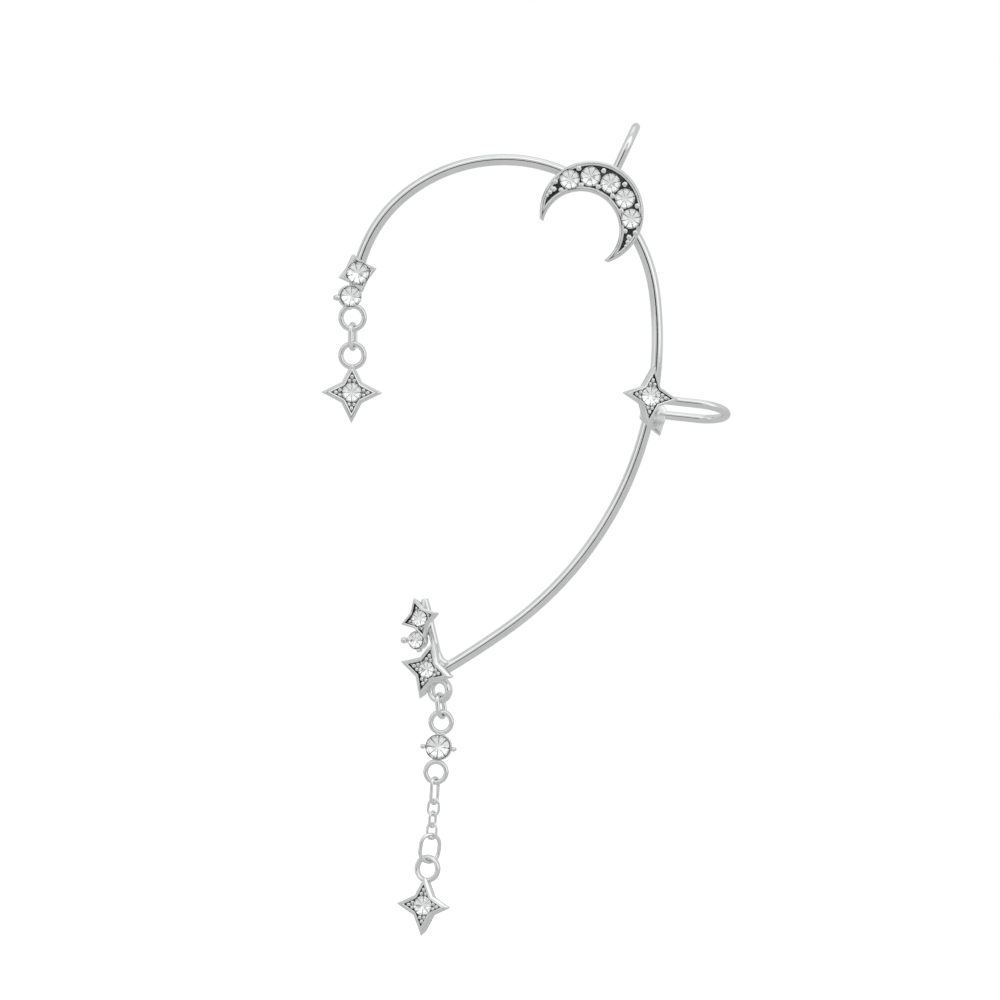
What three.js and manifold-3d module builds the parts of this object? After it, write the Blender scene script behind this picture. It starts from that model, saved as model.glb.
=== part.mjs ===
// Ear cuff: a bent wire with a crescent, stars, two ear hooks and two hanging drops, set with clear stones.
// Millimetres, +Z up, +X away from the face, +Y towards the head. The origin is the inside of the wire's crown,
// where it sits on the root of the ear.
import * as THREE from "three";
import { mergeVertices } from "three/addons/utils/BufferGeometryUtils.js";
import Module from "manifold-3d";

const wasm = await Module();
wasm.setup();

// Main wire
const wireDiameter = 1.1;
const loopRadius = 14.85;
// arcs counted from the crown: radius as a share of loopRadius, turn in degrees
const frontArcs = [
  { share: 1.04, turn: 39 },
  { share: 0.886, turn: 41 },
];
const backArcs = [
  { share: 1, turn: 82.5 },
  { share: 2.352, turn: 62 },
  { share: 5.9, turn: 5.3 },
];

// Castings
const castThickness = 1.2;
const solderDepth = 0.25;
const rimWidth = 0.5;
const sideSlope = 0.2;
const recessDepth = 0.3;
const grainDiameter = 0.44;
const stoneDrop = 0.25;
const seatClearance = 0.1;

// Stars: reach to a point, reach to a notch
const starReach = 3.0;
const starWaist = 1.42;
const smallStarReach = 2.1;
const smallStarWaist = 1.3;

// Crescent: outer and inner arcs, their centres' distance, and how far in degrees its blunt tips stop short of
// the point where the arcs cross
const crescentOuter = 5.1;
const crescentInner = 3.77;
const crescentOffset = 1.96;
const crescentThickness = 1.35;
const crescentTip = 12.5;
const crescentLean = 32.7;
const crescentStones = 5;

// Stones
const paveStone = 1.95;
const starStone = 1.95;
const frontStarStone = 2.2;
const frontClawStone = 2.0;
const lowerStarStone = 1.6;
const lowerClawStone = 1.6;
const lowerBigStone = 1.65;
const connectorStone = 2.35;
const stoneGap = 0.13;

// Claw cups
const cupWall = 0.2;
const prongDiameter = 0.5;
const prongStandOff = 0.4;

// Cast rings and links: widths and lengths are outside sizes; the lower cluster's ring is the heaviest
const ringOuter = 2.8;
const ringWire = 0.46;
const ringDepth = 0.6;
const ringSeam = 0.3;
const connectorRingOuter = 2.55;
const lowerRingOuter = 2.65;
const lowerRingWire = 0.62;
const lowerRingDepth = 0.9;
const linkLength = 2.88;
const topLinkLength = 2.7;
const linkWidth = 1.95;
const linkWire = 0.45;
const longLinkLength = 2.9;
const longLinkWidth = 1.7;
const longLinkWire = 0.34;
const chainLength = 1.8;
const chainWidth = 1.35;
const chainWire = 0.28;
const jumpLength = 3.1;
const jumpWidth = 2.45;
const jumpWire = 0.4;
const linkPlay = 0.08;

// Ear hooks: reach of the bend's middle line from the wire, the bend's radius, and how far from the wire's
// middle the front strand starts and the strand behind the ear ends
const hookDiameter = 0.85;
const hookReach = 7.45;
const hookBend = 2.8;
const upperHookStart = 0.45;
const upperHookEnd = 1.6;
const midHookStart = -0.4;
const midHookEnd = 0.6;
const padReachAcross = 1.4;
const padReachUp = 2.35;
const padWaist = 1.1;
const padThickness = 0.7;

const spineDiameter = 0.9;

const silver = { color: 0xd6d8da, roughness: 0.14, metalness: 1 };
const crystal = { color: 0xf2f5f7, roughness: 0.03, metalness: 0 };

const roundSides = 12;
const boreSides = 16;
const linkSides = 6;
const linkSteps = 14;
const mergeDistance = 1e-4;
const overshoot = 0.5;
const wireStep = 1.6;
const hookSteps = 28;
const grainSides = 6;
const prongSides = 8;

const radians = THREE.MathUtils.degToRad;

// A closed geometry as a solid, moved by a frame's matrix where one is given.
function solid(geometry, frame) {
  const bare = geometry.index ? geometry.toNonIndexed() : geometry.clone();
  bare.deleteAttribute("normal");
  bare.deleteAttribute("uv");
  if (frame) bare.applyMatrix4(frame.matrixWorld);
  const merged = mergeVertices(bare, mergeDistance);
  const mesh = new wasm.Mesh({
    numProp: 3,
    vertProperties: merged.attributes.position.array,
    triVerts: new Uint32Array(merged.index.array),
  });
  return new wasm.Manifold(mesh);
}

function join(solids) {
  return solids.reduce((sum, next) => sum.add(next));
}

// A cast or soldered piece: its metal is joined first, and the wells for its stones are cut last.
const newPiece = () => ({ metal: [], wells: [] });
const finished = ({ metal, wells }) => geometryOf(join(metal).subtract(join(wells)));

function geometryOf(made) {
  const { vertProperties, triVerts } = made.getMesh();
  return new THREE.BufferGeometry()
    .setAttribute("position", new THREE.BufferAttribute(vertProperties, 3))
    .setIndex(new THREE.BufferAttribute(triVerts, 1));
}

function addMesh(parent, name, geometry, finish) {
  const mesh = new THREE.Mesh(geometry, new THREE.MeshStandardMaterial(finish));
  mesh.name = name;
  parent.add(mesh);
}

// A frame for one piece: lean slants it sideways, turn swings its face to the right, roll spins it clockwise in
// its own plane, and tilt tips it about its own x. All in degrees.
function frameAt(parent, position, { lean = 0, turn = 0, roll = 0, tilt = 0 } = {}) {
  const frame = new THREE.Group();
  frame.position.copy(position);
  frame.rotateY(radians(lean));
  frame.rotateZ(radians(turn));
  frame.rotateY(radians(roll));
  frame.rotateX(radians(tilt));
  parent.add(frame);
  frame.updateWorldMatrix(true, false);
  return frame;
}

// A flat shape as a plate facing the front, its thickness centred on the frame.
function plate(shape, thickness, slope = 1) {
  const geometry = new THREE.ExtrudeGeometry(shape, {
    depth: thickness,
    bevelEnabled: false,
    curveSegments: roundSides,
  });
  const corners = geometry.getAttribute("position");
  for (let i = 0; i < corners.count; i++) {
    if (corners.getZ(i) > thickness / 2) {
      corners.setXY(i, corners.getX(i) * slope, corners.getY(i) * slope);
    }
  }
  return geometry.rotateX(Math.PI / 2).translate(0, thickness / 2, 0);
}

// A round bar along a curve.
function tube(curve, diameter, sides, steps) {
  const section = new THREE.Shape().absarc(0, 0, diameter / 2, 0, 2 * Math.PI);
  return new THREE.ExtrudeGeometry(section, {
    steps,
    curveSegments: sides / 2,
    bevelEnabled: false,
    extrudePath: curve,
  });
}

// The wire's middle line
function wirePoint(arcs, side, turned) {
  let before = 0;
  const point = new THREE.Vector3(0, 0, wireDiameter / 2);
  for (const { share, turn } of arcs) {
    const part = THREE.MathUtils.clamp(turned - before, 0, turn);
    const from = radians(before);
    const to = radians(before + part);
    point.x += side * share * loopRadius * (Math.sin(to) - Math.sin(from));
    point.z += share * loopRadius * (Math.cos(to) - Math.cos(from));
    before += turn;
  }
  return point;
}

const turnOf = (arcs) => arcs.reduce((sum, { turn }) => sum + turn, 0);
const backPoint = (turned) => wirePoint(backArcs, 1, turned);
const frontEnd = wirePoint(frontArcs, -1, turnOf(frontArcs));
const backEnd = backPoint(turnOf(backArcs));

class WireLine extends THREE.Curve {
  getPoint(share, target = new THREE.Vector3()) {
    const turned = THREE.MathUtils.lerp(-turnOf(frontArcs), turnOf(backArcs), share);
    const point = turned < 0 ? wirePoint(frontArcs, -1, -turned) : backPoint(turned);
    return target.copy(point);
  }
}

function wireSolid() {
  const line = new WireLine();
  const steps = Math.round(line.getLength() / (wireStep * wireDiameter));
  line.arcLengthDivisions = roundSides * steps;
  line.updateArcLengths();
  return solid(tube(line, wireDiameter, roundSides, steps));
}

// Stones: shares of the girdle's radius
const stoneCut = { table: 0.58, crown: 0.3, girdle: 0.08, pavilion: 0.72 };

// A round cut stone, its girdle on the frame's plane and its table to the front.
function stoneGeometry(diameter) {
  const radius = diameter / 2;
  const top = radius * (stoneCut.girdle + stoneCut.crown);
  const profile = [
    new THREE.Vector2(0, -radius * stoneCut.pavilion),
    new THREE.Vector2(radius, 0),
    new THREE.Vector2(radius, radius * stoneCut.girdle),
    new THREE.Vector2(radius * stoneCut.table, top),
    new THREE.Vector2(0, top),
  ];
  return new THREE.LatheGeometry(profile, roundSides).rotateX(Math.PI);
}

// The well cut for a stone, open to the front.
function seatGeometry(diameter) {
  const below = (diameter / 2) * stoneCut.pavilion + seatClearance;
  const radius = diameter / 2 + seatClearance;
  const depth = below + stoneDrop + overshoot;
  return new THREE.CylinderGeometry(radius, radius, depth, boreSides).translate(0, below - depth / 2, 0);
}

// A frame on a casting's front for one stone: x and z are its place, thickness is the casting's.
function stoneFrame(parent, x, z, thickness) {
  return frameAt(parent, new THREE.Vector3(x, stoneDrop - thickness / 2, z));
}

function grain(x, z, floor) {
  const ball = new THREE.SphereGeometry(grainDiameter / 2, grainSides, grainSides / 2 + 1);
  return ball.rotateX(Math.PI / 2).translate(x, floor, z);
}

// Stars
function starShape(reach, waist, across = reach) {
  const notch = waist / Math.SQRT2;
  const shape = new THREE.Shape();
  const corners = [
    [across, 0],
    [notch, notch],
    [0, reach],
    [-notch, notch],
    [-across, 0],
    [-notch, -notch],
    [0, -reach],
    [notch, -notch],
  ];
  shape.setFromPoints(corners.map(([x, y]) => new THREE.Vector2(x, y)));
  return shape;
}

// How much a star shrinks when its straight sides move in by a width.
function starShrink(reach, waist, width) {
  const notch = waist / Math.SQRT2;
  const sideDistance = (reach * notch) / Math.hypot(notch, reach - notch);
  return 1 - width / sideDistance;
}

// Adds a stone and the well for it to a piece.
function setStone(piece, seat, diameter, name) {
  addMesh(seat, name, stoneGeometry(diameter), crystal);
  piece.wells.push(solid(seatGeometry(diameter), seat));
}

// Adds a star casting with its stone, in a frame centred on it.
function addStar(piece, frame, reach, waist, stoneDiameter, stoneName) {
  const field = starShrink(reach, waist, rimWidth);
  const floor = recessDepth - castThickness / 2;
  const body = solid(plate(starShape(reach, waist), castThickness, starShrink(reach, waist, sideSlope)), frame);
  const recess = plate(starShape(reach * field, waist * field), castThickness);
  const casting = body.subtract(solid(recess.translate(0, floor - castThickness / 2, 0), frame));
  piece.metal.push(casting);
  const armRoom = reach * field - stoneDiameter / 2;
  if (armRoom > grainDiameter) {
    const grainReach = (stoneDiameter + grainDiameter) / 2;
    for (let arm = 0; arm < 4; arm++) {
      const angle = (arm * Math.PI) / 2;
      const ball = grain(grainReach * Math.cos(angle), grainReach * Math.sin(angle), floor);
      piece.metal.push(solid(ball, frame));
    }
  }
  setStone(piece, stoneFrame(frame, 0, 0, castThickness), stoneDiameter, stoneName);
}

const cupOuter = (stoneDiameter) => stoneDiameter / 2 + seatClearance + cupWall;

// Adds a claw cup with ball prongs round its stone, at angles counted from the frame's right.
function addClawCup(piece, frame, stoneDiameter, stoneName, prongAngles) {
  const outer = cupOuter(stoneDiameter);
  const cup = new THREE.CylinderGeometry(outer, outer, castThickness, boreSides);
  const reach = stoneDiameter / 2 + prongStandOff;
  piece.metal.push(solid(cup, frame));
  for (const degrees of prongAngles) {
    const angle = radians(degrees);
    const prong = new THREE.CapsuleGeometry(prongDiameter / 2, castThickness / 2, 2, prongSides);
    prong.translate(reach * Math.cos(angle), -castThickness / 4, reach * Math.sin(angle));
    piece.metal.push(solid(prong, frame));
  }
  setStone(piece, stoneFrame(frame, 0, 0, castThickness), stoneDiameter, stoneName);
}

// Crescent
function crescentShape(outer, inner, tip) {
  const along = (outer ** 2 - inner ** 2 + crescentOffset ** 2) / (2 * crescentOffset);
  const onOuter = Math.acos(along / outer) + radians(tip);
  const onInner = Math.acos((along - crescentOffset) / inner) + radians(tip);
  const shape = new THREE.Shape();
  shape.absarc(0, 0, outer, onOuter, 2 * Math.PI - onOuter, false);
  shape.absarc(crescentOffset, 0, inner, 2 * Math.PI - onInner, onInner, true);
  return shape;
}

// Grains beside the row of stones, in stone radii from its middle line, and past its ends, as a step in stone
// pitches and a place across it in stone radii
const rowSideGrains = 0.84;
const rowEndGrains = [
  { past: 0.62, across: 0.45 },
  { past: 0.66, across: -0.45 },
  { past: 0.92, across: 0.02 },
];

// Adds the crescent casting and its row of stones; its opening points along the frame's x.
function addCrescent(piece, frame) {
  const rowRadius = (crescentOuter + crescentInner) / 2 - stoneGap / 2;
  const pitch = (paveStone + stoneGap) / rowRadius;
  const floor = recessDepth - crescentThickness / 2;
  const moon = plate(crescentShape(crescentOuter, crescentInner, crescentTip), crescentThickness);
  const field = plate(crescentShape(crescentOuter - rimWidth, crescentInner + rimWidth, 0), crescentThickness);
  field.translate(0, floor - crescentThickness / 2, 0);
  piece.metal.push(solid(moon, frame).subtract(solid(field, frame)));
  const onRow = (steps, out) => {
    const angle = Math.PI + steps * pitch;
    const radius = rowRadius + out;
    return [crescentOffset / 2 + radius * Math.cos(angle), radius * Math.sin(angle)];
  };
  const addGrain = (steps, out) => {
    const [x, z] = onRow(steps, out);
    piece.metal.push(solid(grain(x, z, floor), frame));
  };
  const lastStep = (crescentStones - 1) / 2;
  const sideGrain = (rowSideGrains * paveStone) / 2;
  for (let k = 0; k < crescentStones; k++) {
    const [x, z] = onRow(k - lastStep, 0);
    const seat = stoneFrame(frame, x, z, crescentThickness);
    setStone(piece, seat, paveStone, `crescent_stone_${k + 1}`);
  }
  for (const side of [-1, 1]) {
    for (let k = 0.5; k < crescentStones - 1; k++) addGrain(k - lastStep, side * sideGrain);
    for (const { past, across } of rowEndGrains) {
      addGrain(side * (lastStep + past), (across * paveStone) / 2);
    }
  }
}

// Rings and links
function ringGeometry(outer, wire = ringWire, depth = ringDepth) {
  const torus = new THREE.TorusGeometry((outer - wire) / 2, wire / 2, linkSides, linkSteps);
  return torus.scale(1, 1, depth / wire).rotateX(Math.PI / 2);
}

function linkGeometry(length, width, wire) {
  const torus = new THREE.TorusGeometry((width - wire) / 2, wire / 2, linkSides, linkSteps);
  torus.rotateZ(Math.PI / linkSteps);
  const corners = torus.getAttribute("position");
  for (let i = 0; i < corners.count; i++) {
    const y = corners.getY(i);
    corners.setY(i, y + (Math.sign(y) * (length - width)) / 2);
  }
  return torus.rotateX(Math.PI / 2);
}

const ringInside = (outer, wire = ringWire) => outer / 2 - wire;

// Ear hooks: out along the frame's x, round the ear's rim and back behind it
class HookLine extends THREE.Curve {
  constructor(startsAt, endsAt) {
    super();
    this.startsAt = startsAt;
    this.endsAt = endsAt;
  }

  getPoint(share, target = new THREE.Vector3()) {
    const straight = hookReach - hookBend;
    const bend = Math.PI * hookBend;
    const at = THREE.MathUtils.lerp(this.startsAt, straight + bend + straight - this.endsAt, share);
    if (at < straight) return target.set(at, 0, 0);
    const past = at - straight - bend;
    if (past > 0) return target.set(straight - past, 2 * hookBend, 0);
    const angle = (at - straight) / hookBend;
    return target.set(straight + hookBend * Math.sin(angle), hookBend * (1 - Math.cos(angle)), 0);
  }
}

function hookSolid(frame, startsAt, endsAt) {
  const end = new THREE.SphereGeometry(hookDiameter / 2, roundSides, roundSides / 2);
  end.rotateZ(Math.PI / 2).translate(endsAt, 2 * hookBend, 0);
  const strand = tube(new HookLine(startsAt, endsAt), hookDiameter, roundSides, hookSteps);
  return solid(strand, frame).add(solid(end, frame));
}

// A cluster's spine, a bar behind its settings from the wire's end to its ring
function spineSolid(frame, points) {
  const line = new THREE.CatmullRomCurve3(points.map(([x, y, z]) => new THREE.Vector3(x, y, z)));
  return solid(tube(line, spineDiameter, prongSides, 4 * points.length), frame);
}

const cuff = new THREE.Group();
const body = newPiece();
// how far a casting's middle stands in front of the wire's middle line
const standOff = (thickness) => wireDiameter / 2 - solderDepth + thickness / 2;

// Crescent, on the back of the loop
const crescentTurn = 41.7;
const crescentInset = crescentOffset;
const crescentPoint = backPoint(crescentTurn);
crescentPoint.x -= crescentInset * Math.sin(radians(crescentTurn));
crescentPoint.z -= crescentInset * Math.cos(radians(crescentTurn));
crescentPoint.y = -standOff(crescentThickness);
const crescent = frameAt(cuff, crescentPoint, { roll: 90 + crescentLean });
addCrescent(body, crescent);

// The wire's inner side is dressed back behind the crescent, so that nothing shows in its opening.
const openingRadius = crescentInner + 2 * seatClearance;
const opening = new THREE.CylinderGeometry(openingRadius, openingRadius, 4 * crescentThickness, 4 * roundSides);
opening.translate(crescentOffset, 0, 0);
body.metal.push(wireSolid().subtract(solid(opening, crescent)));

// Upper ear hook, behind the crescent
const upperHook = frameAt(cuff, backPoint(crescentTurn - 0.8), { roll: -65 });
body.metal.push(hookSolid(upperHook, upperHookStart, upperHookEnd));

// Middle star and its ear hook
const midStarTurn = 99.4;
const midStarFrame = frameAt(cuff, backPoint(midStarTurn), { turn: 23 });
const castBack = -standOff(castThickness);
const midStar = frameAt(midStarFrame, new THREE.Vector3(-starReach / 4, castBack, 0), { roll: 7 });
addStar(body, midStar, starReach, starWaist, starStone, "mid_star_stone");

const midHookPoint = backPoint(midStarTurn + 0.4);
midHookPoint.y += hookDiameter;
const midHook = frameAt(cuff, midHookPoint, { roll: 6.3, tilt: -14.6 });
body.metal.push(hookSolid(midHook, midHookStart, midHookEnd));
const padPoint = new THREE.Vector3(midHookEnd - padReachAcross / 5, 2 * hookBend, 0);
const pad = frameAt(midHook, padPoint, { roll: -23 });
body.metal.push(solid(plate(starShape(padReachUp, padWaist, padReachAcross), padThickness), pad));

// Front cluster: a star at the wire's end, a claw-set stone below it and a ring below that. Each next place is
// a lean sideways and a distance down from the one before, so that the castings run into each other.
const clusterSeam = 0.22;
const frontRingSeam = 0.61;
const lowerRingSeam = 0.54;
const armSeam = 0.99;
const below = ([x, y, z], distance, lean) => {
  const angle = radians(lean);
  return [x - distance * Math.sin(angle), y, z - distance * Math.cos(angle)];
};
const placeAt = (parent, point, pose) => frameAt(parent, new THREE.Vector3(...point), pose);

const frontTurn = 12;
const frontCluster = frameAt(cuff, frontEnd, { turn: frontTurn });
const frontStarPoint = [-0.185 * wireDiameter, castBack, 0.215 * wireDiameter];
const frontCup = cupOuter(frontClawStone);
const frontClawPoint = below(frontStarPoint, smallStarWaist + frontCup - clusterSeam, 17.3);
const frontRingPoint = below(frontClawPoint, frontCup + ringOuter / 2 - frontRingSeam, -7.6);
const frontStar = placeAt(frontCluster, frontStarPoint, { roll: -14 });
addStar(body, frontStar, smallStarReach, smallStarWaist, frontStarStone, "front_star_stone");
const frontClaw = placeAt(frontCluster, frontClawPoint, { roll: 8 });
addClawCup(body, frontClaw, frontClawStone, "front_claw_stone", [70, 180, 255, 335]);
const frontRing = placeAt(frontCluster, frontRingPoint, { turn: -frontTurn });
body.metal.push(solid(ringGeometry(ringOuter), frontRing));
const frontSpineEnd = below(frontClawPoint, frontClawStone / 4, 0);
body.metal.push(
  spineSolid(frontCluster, [
    [0, 0, 0],
    [-0.65 * spineDiameter, -0.22 * spineDiameter, -1.4 * spineDiameter],
    [frontSpineEnd[0], -spineDiameter / 2, frontSpineEnd[2]],
  ]),
);

// Lower cluster: a big star at the wire's end, a claw-set stone and a small star above it, and a ring below
const lowerCluster = frameAt(cuff, backEnd, { turn: -28 });
const lowerCup = cupOuter(lowerClawStone);
const bigStarPoint = [-0.565 * wireDiameter, castBack, 0.31 * wireDiameter];
const lowerClawPoint = below(bigStarPoint, armSeam - starReach - lowerCup, -22.9);
const lowerStarPoint = below(lowerClawPoint, clusterSeam - smallStarWaist - lowerCup, 10.8);
const lowerRingPoint = below(bigStarPoint, starWaist + lowerRingOuter / 2 - lowerRingSeam, -24);
const lowerStar = placeAt(lowerCluster, lowerStarPoint, { roll: -16 });
addStar(body, lowerStar, smallStarReach, smallStarWaist, lowerStarStone, "lower_star_stone");
const lowerClaw = placeAt(lowerCluster, lowerClawPoint);
addClawCup(body, lowerClaw, lowerClawStone, "lower_claw_stone", [0, 97, 180, 280]);
const bigStar = placeAt(lowerCluster, bigStarPoint, { roll: 15 });
addStar(body, bigStar, starReach, starWaist, lowerBigStone, "lower_big_star_stone");
const lowerRing = placeAt(lowerCluster, [lowerRingPoint[0], -lowerRingDepth / 4, lowerRingPoint[2]]);
body.metal.push(solid(ringGeometry(lowerRingOuter, lowerRingWire, lowerRingDepth), lowerRing));
body.metal.push(
  spineSolid(lowerCluster, [
    [lowerStarPoint[0], -spineDiameter / 9, lowerStarPoint[2] + spineDiameter],
    [lowerStarPoint[0] + 0.7 * spineDiameter, 0, lowerStarPoint[2] - 1.2 * spineDiameter],
    [lowerClawPoint[0] + 1.5 * spineDiameter, 0, lowerClawPoint[2]],
    [bigStarPoint[0] + spineDiameter / 2, 0, bigStarPoint[2] + 1.8 * spineDiameter],
    [bigStarPoint[0] + 1.4 * spineDiameter, 0, bigStarPoint[2] + spineDiameter / 2],
  ]),
);

addMesh(cuff, "cuff_frame", finished(body), silver);

// Hanging drops: a row's upper and lower are the ways from its frame to the insides of its two ends
function linkRow(name, { turn, lean }, length, width, wire) {
  const inside = length / 2 - wire;
  const build = (frame) => addMesh(frame, name, linkGeometry(length, width, wire), silver);
  return { turn, lean, upper: inside, lower: inside, build };
}

function connectorRow(name, { turn, lean }, stoneName) {
  const cupReach = connectorStone / 2 + seatClearance + cupWall;
  const toRing = cupReach + connectorRingOuter / 2 - ringSeam;
  const build = (frame) => {
    const middle = frameAt(frame, new THREE.Vector3(0, 0, -toRing));
    const lower = frameAt(middle, new THREE.Vector3(0, 0, -toRing));
    const piece = newPiece();
    piece.metal.push(...[frame, lower].map((place) => solid(ringGeometry(connectorRingOuter), place)));
    addClawCup(piece, middle, connectorStone, stoneName, [0, 180]);
    addMesh(cuff, name, finished(piece), silver);
  };
  const inside = ringInside(connectorRingOuter);
  return { turn, lean, upper: inside, lower: 2 * toRing + inside, build };
}

function starRow(name, { turn, lean }, stoneName) {
  const toStar = starReach + ringInside(ringOuter) - ringSeam;
  const build = (frame) => {
    const middle = frameAt(frame, new THREE.Vector3(0, 0, -toStar));
    const inside = ringInside(ringOuter);
    const hole = new THREE.CylinderGeometry(inside, inside, 2 * castThickness, boreSides);
    const piece = newPiece();
    addStar(piece, middle, starReach, starWaist, starStone, stoneName);
    piece.metal = [join(piece.metal).subtract(solid(hole, frame)), solid(ringGeometry(ringOuter), frame)];
    addMesh(cuff, name, finished(piece), silver);
  };
  return { turn, lean, upper: ringInside(ringOuter), lower: 0, build };
}

// Hangs rows one below the other from a ring, each in the inside of the one above.
function hangFrom(ringFrame, inside, rows) {
  const grip = ringFrame.getWorldPosition(new THREE.Vector3());
  grip.z -= inside;
  for (const { turn, lean, upper, lower, build } of rows) {
    const down = new THREE.Vector3(-Math.sin(radians(lean)), 0, -Math.cos(radians(lean)));
    grip.addScaledVector(down, upper - linkPlay);
    build(frameAt(cuff, grip, { turn, lean }));
    grip.addScaledVector(down, lower);
  }
}

hangFrom(frontRing, ringInside(ringOuter), [
  linkRow("front_drop_link", { turn: 72, lean: 0 }, linkLength, linkWidth, linkWire),
  starRow("front_drop_star", { turn: 0, lean: 1 }, "front_drop_stone"),
]);

// the four chain links turn by turns across each other
const chainTurns = [
  { turn: -14, lean: 5 },
  { turn: 58, lean: 4 },
  { turn: -34, lean: 4 },
];

hangFrom(lowerRing, ringInside(lowerRingOuter, lowerRingWire), [
  linkRow("drop_top_link", { turn: 66, lean: -7 }, topLinkLength, linkWidth, linkWire),
  connectorRow("drop_connector", { turn: -8, lean: 6 }, "connector_stone"),
  linkRow("chain_link_1", { turn: 62, lean: 3 }, longLinkLength, longLinkWidth, longLinkWire),
  ...chainTurns.map((pose, k) => linkRow(`chain_link_${k + 2}`, pose, chainLength, chainWidth, chainWire)),
  linkRow("drop_jump_ring", { turn: 28, lean: 8 }, jumpLength, jumpWidth, jumpWire),
  starRow("drop_star", { turn: -28, lean: 4 }, "drop_star_stone"),
]);

export default cuff;
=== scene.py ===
import math

import bmesh
import bpy
from mathutils import Matrix, Vector


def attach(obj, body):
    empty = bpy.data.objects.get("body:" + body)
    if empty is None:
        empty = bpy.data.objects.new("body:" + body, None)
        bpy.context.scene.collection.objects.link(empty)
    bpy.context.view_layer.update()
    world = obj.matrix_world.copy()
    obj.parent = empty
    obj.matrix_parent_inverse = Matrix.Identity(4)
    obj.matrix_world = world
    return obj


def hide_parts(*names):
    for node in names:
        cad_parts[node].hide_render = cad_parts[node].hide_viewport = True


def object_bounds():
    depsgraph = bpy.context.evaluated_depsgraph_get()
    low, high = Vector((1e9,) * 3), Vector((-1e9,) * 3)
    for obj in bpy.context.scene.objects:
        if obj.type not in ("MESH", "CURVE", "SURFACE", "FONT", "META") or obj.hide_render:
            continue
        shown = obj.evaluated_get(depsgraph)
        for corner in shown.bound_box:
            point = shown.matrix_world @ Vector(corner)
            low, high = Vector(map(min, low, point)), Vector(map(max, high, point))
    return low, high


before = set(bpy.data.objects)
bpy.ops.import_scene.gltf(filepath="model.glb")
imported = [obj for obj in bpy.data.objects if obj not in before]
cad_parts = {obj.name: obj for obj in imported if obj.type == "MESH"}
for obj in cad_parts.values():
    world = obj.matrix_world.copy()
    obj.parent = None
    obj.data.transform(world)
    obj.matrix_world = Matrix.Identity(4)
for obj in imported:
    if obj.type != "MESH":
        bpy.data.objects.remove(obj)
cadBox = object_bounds()
scene = bpy.context.scene
print("frame loaded:", len(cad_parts), "nodes")

# ---- shader helpers


def addNode(tree, kind, inputs=None, **settings):
    node = tree.nodes.new(kind)
    for key, value in settings.items():
        setattr(node, key, value)
    for key, value in (inputs or {}).items():
        if isinstance(value, bpy.types.NodeSocket):
            tree.links.new(value, node.inputs[key])
        else:
            node.inputs[key].default_value = value
    return node


def mixColour(tree, factor, first, second):
    return addNode(tree, "ShaderNodeMix", {0: factor, 6: first, 7: second}, data_type="RGBA").outputs[2]


def addMath(tree, operation, *values):
    return addNode(tree, "ShaderNodeMath", dict(enumerate(values)), operation=operation).outputs[0]


def mapValue(tree, value, fromMin, fromMax, toMin, toMax, smooth=False):
    inputs = {"Value": value, "From Min": fromMin, "From Max": fromMax, "To Min": toMin, "To Max": toMax}
    kind = "SMOOTHSTEP" if smooth else "LINEAR"
    return addNode(tree, "ShaderNodeMapRange", inputs, interpolation_type=kind).outputs["Result"]


def grey(value):
    return (value, value, value, 1)


def newMaterial(name):
    material = bpy.data.materials.new(name)
    material.use_nodes = True
    tree = material.node_tree
    return material, tree, tree.nodes["Principled BSDF"]


# ---- camera and light, as in a white light tent

photoView = {"aim": (-0.4, 0, -32.8), "distance": 1200, "across": 98}

studio = {
    "backdrop": 1.0,
    "walls": 0.7,
    "behind": 0.64,
    "behindFade": (-0.2, 0.7),
    "below": 0.6,
    "belowFade": (-0.7, 0),
    "ring": {"from": 40, "to": 68, "soft": 7, "glow": (0.85, 1.15)},  # lamps round the lens, degrees off its axis
    "slant": {"towards": (0.7, 0, 0.7), "fade": (-0.6, 0.6)},  # the lamps are brighter on this side
    "lens": {"inner": 8, "outer": 18, "glow": 0.05},
    "panels": [  # inner and outer are half angles in degrees
        {"towards": (0.1, 0.2, 1), "inner": 15, "outer": 28, "glow": 0.95},
        {"towards": (0.55, -1, -0.35), "inner": 3, "outer": 7, "glow": 0.3},
        {"towards": (-0.55, -1, 0.1), "inner": 3, "outer": 7, "glow": 0.3},
        {"towards": (0.1, -1, 0.62), "inner": 3, "outer": 7, "glow": 0.3},
        {"towards": (1, -0.1, -0.3), "inner": 5, "outer": 11, "glow": 0.3},
        {"towards": (-1, -0.1, 0.4), "inner": 5, "outer": 11, "glow": 0.3},
    ],
}


def buildCamera():
    camera = bpy.data.objects.new("photoCamera", bpy.data.cameras.new("photoCamera"))
    scene.collection.objects.link(camera)
    aim = Vector(photoView["aim"]) * 0.001
    camera.location = aim - Vector((0, photoView["distance"] * 0.001, 0))
    camera.rotation_euler = (math.radians(90), 0, 0)
    camera.data.sensor_width = 36
    camera.data.lens = 36 * photoView["distance"] / photoView["across"]
    camera.data.clip_start = 0.01
    scene.camera = camera


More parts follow.
